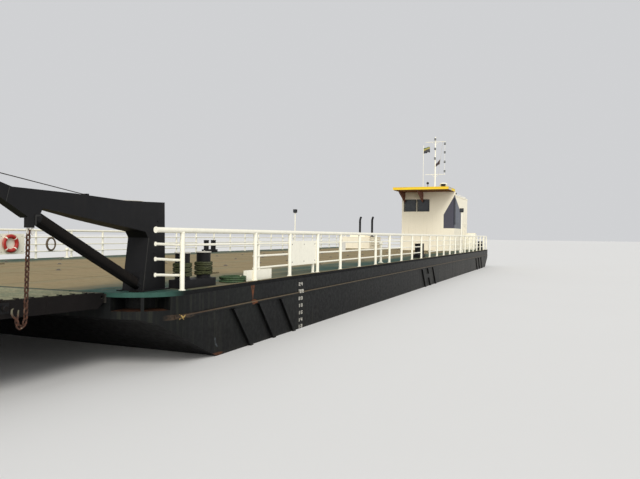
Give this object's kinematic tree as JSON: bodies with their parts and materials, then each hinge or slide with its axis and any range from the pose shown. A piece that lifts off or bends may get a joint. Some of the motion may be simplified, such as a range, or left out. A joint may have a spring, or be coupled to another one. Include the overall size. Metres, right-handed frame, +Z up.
{
  "type": "self-propelled river deck barge with a bow ramp, 1:2 scale model",
  "caption": "River deck barge with a bow ramp on goose-neck arms, railed sides, a deckhouse on the quarter and twin screws.",
  "frame": {"origin": "on the ground under the middle of the bounding box", "axes": "+X to the bow and the ramp's tip, +Y to port, +Z up"},
  "size_m": [28.224, 7.17, 6.2],
  "materials": {
    "hull_paint": "worn black gloss with rust at the edges",
    "deck_paint": "worn green deck paint with tan dust",
    "arm_paint": "satin black",
    "wire_steel": "greased galvanised steel",
    "rusty_chain": "rusty",
    "rail_white": "satin white",
    "ring_red": "matte red and white",
    "mooring_rope": "laid green fibre",
    "house_cream": "satin cream",
    "cabin_inside": "satin grey",
    "roof_yellow": "satin yellow",
    "window_glass": "dark tinted glass",
    "lamp_black": "matte black",
    "flag_cloth": "faded cloth",
    "bronze": "dull bronze"
  },
  "bodies": {
    "barge": {"hull": "hull_paint", "main_deck": "deck_paint", "rubbing_strake_port": "hull_paint", "rubbing_strake_starboard": "hull_paint", "ramp_hinge": "wire_steel", "goose_neck_port": "arm_paint", "goose_neck_starboard": "arm_paint", "arm_brace_port": "arm_paint", "arm_brace_starboard": "arm_paint", "hoist_wire_port": "wire_steel", "hoist_wire_starboard": "wire_steel", "securing_chain_port": "rusty_chain", "securing_chain_starboard": "rusty_chain", "railing_port": "rail_white", "railing_starboard": "rail_white", "railing_stern": "rail_white", "chock_box": "rail_white", "name_board": "rail_white", "ring_board": "rail_white", "life_ring": "ring_red", "tank_vent_port": "rail_white", "tank_vent_starboard": "rail_white", "floodlight_port": "rail_white", "floodlight_starboard": "rail_white", "bollards_bow_port": "arm_paint", "bollards_bow_starboard": "arm_paint", "bollards_middle_port": "arm_paint", "bollards_middle_starboard": "arm_paint", "bollards_stern_port": "arm_paint", "bollards_stern_starboard": "arm_paint", "rope_turns_forward": "mooring_rope", "rope_turns_aft": "mooring_rope", "rope_coil": "mooring_rope", "deckhouse_walls": "house_cream", "bridge_deck": "cabin_inside", "deckhouse_roof": "house_cream", "canopy": "roof_yellow", "front_pane": "window_glass", "side_pane": "window_glass", "balcony_ladder": "rail_white", "mast_tabernacle": "rail_white", "radar_dome": "rail_white", "flag_staff": "rail_white", "staff_flag": "flag_cloth", "stern_locker": "rail_white", "engine_casing": "house_cream", "exhaust_pipes": "arm_paint", "stern_tube_port": "wire_steel", "stern_tube_starboard": "wire_steel"},
    "ramp": {"bow_ramp": "deck_paint"},
    "deckhouse_door_leaf": {"deckhouse_door": "house_cream"},
    "bridge_door_leaf": {"bridge_door": "house_cream"},
    "folding_mast": {"signal_mast": "rail_white", "masthead_lights": "lamp_black", "yard_lights": "lamp_black", "mast_pennant": "flag_cloth"},
    "propeller_shaft_port": {"propeller_port": "bronze"},
    "propeller_shaft_starboard": {"propeller_starboard": "bronze"},
    "rudder_stock_port": {"rudder_port": "hull_paint"},
    "rudder_stock_starboard": {"rudder_starboard": "hull_paint"}
  },
  "joints": [
    {"name": "ramp_hinge_joint", "type": "hinge", "parent": "barge", "child": "ramp", "pos_m": [10.1975, 0, 1.285], "axis": [0, -1, 0], "range_deg": [-15.4, 26.6]},
    {"name": "deckhouse_door_joint", "type": "hinge", "parent": "barge", "child": "deckhouse_door_leaf", "pos_m": [-12.5955, 2.7603, 1.875], "axis": [0, 0, 1], "range_deg": [0, 100]},
    {"name": "bridge_door_joint", "type": "hinge", "parent": "barge", "child": "bridge_door_leaf", "pos_m": [-13.0878, 2.358, 3.025], "axis": [0, 0, -1], "range_deg": [0, 95]},
    {"name": "mast_fold", "type": "hinge", "parent": "barge", "child": "folding_mast", "pos_m": [-11.2125, 1.66, 3.75], "axis": [0, -1, 0], "range_deg": [0, 86]},
    {"name": "propeller_spin_port", "type": "hinge", "parent": "barge", "child": "propeller_shaft_port", "pos_m": [-12.4625, 1.7, 0.295], "axis": [1, 0, 0], "continuous": true},
    {"name": "rudder_port_joint", "type": "hinge", "parent": "barge", "child": "rudder_stock_port", "pos_m": [-12.9875, 1.7, 0.325], "axis": [0, 0, 1], "range_deg": [-35, 35]},
    {"name": "propeller_spin_starboard", "type": "hinge", "parent": "barge", "child": "propeller_shaft_starboard", "pos_m": [-12.4625, -1.7, 0.295], "axis": [1, 0, 0], "continuous": true},
    {"name": "rudder_starboard_joint", "type": "hinge", "parent": "barge", "child": "rudder_stock_starboard", "pos_m": [-12.9875, -1.7, 0.325], "axis": [0, 0, 1], "range_deg": [-35, 35]}
  ]
}
